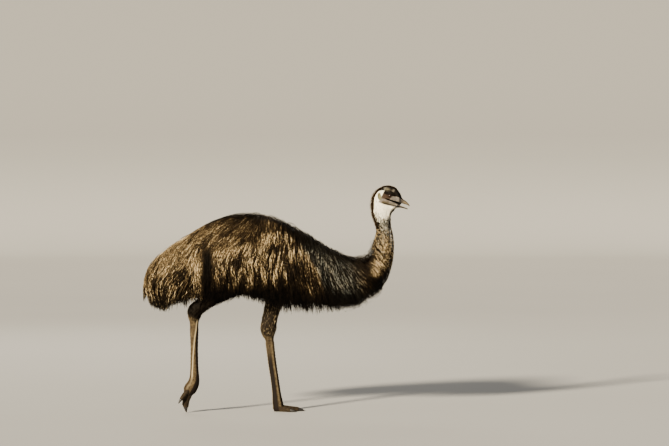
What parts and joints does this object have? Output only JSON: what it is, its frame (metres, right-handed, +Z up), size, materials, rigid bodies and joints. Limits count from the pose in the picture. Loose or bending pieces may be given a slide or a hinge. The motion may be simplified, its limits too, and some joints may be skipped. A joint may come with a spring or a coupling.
{
  "type": "emu",
  "caption": "Life-size still model of a walking emu with shaggy drooping plumage, bare pale neck, open bill, scaly legs and clawed feet.",
  "frame": {"origin": "middle of the footprint box, on the floor", "axes": "+X forward to the beak, +Y to the bird's left, +Z up"},
  "size_m": [1.572, 0.489, 1.3398],
  "materials": {
    "body_plumage": "long loose double-shafted feathers, dark brown with golden tan streaks",
    "rump_plumage": "long loose drooping feathers, grey-brown with dark bases",
    "breast_plumage": "soft dark feathers with silver-grey streaks",
    "neck_plumage": "short dark feathers with beige tips",
    "neck_skin": "bare matt pale skin with thin dark hair-like feathers",
    "head_skin": "grey skin with short black bristles on the crown",
    "beak_horn": "dull dark horn, paler along the edges",
    "eye": "wet brown eye",
    "leg_feathers": "short dense dark feathers",
    "leg_scales": "grey-brown scaly skin with raised scutes",
    "claw_horn": "smooth dark horn"
  },
  "bodies": {
    "root": {"tail": "rump_plumage", "torso": "body_plumage", "wing_left": "body_plumage", "wing_right": "body_plumage", "breast": "breast_plumage", "neck_base": "neck_plumage", "neck_lower": "neck_plumage", "neck_upper": "neck_skin", "head": "head_skin", "beak_upper": "beak_horn", "beak_lower": "beak_horn", "eye_left": "eye", "eye_right": "eye", "drumstick_left": "leg_feathers", "drumstick_right": "leg_feathers", "shank_left": "leg_scales", "shank_right": "leg_scales", "toe_inner_left": "leg_scales", "toe_middle_left": "leg_scales", "toe_outer_left": "leg_scales", "toe_inner_right": "leg_scales", "toe_middle_right": "leg_scales", "toe_outer_right": "leg_scales", "claw_inner_left": "claw_horn", "claw_middle_left": "claw_horn", "claw_outer_left": "claw_horn", "claw_inner_right": "claw_horn", "claw_middle_right": "claw_horn", "claw_outer_right": "claw_horn"}
  },
  "joints": []
}
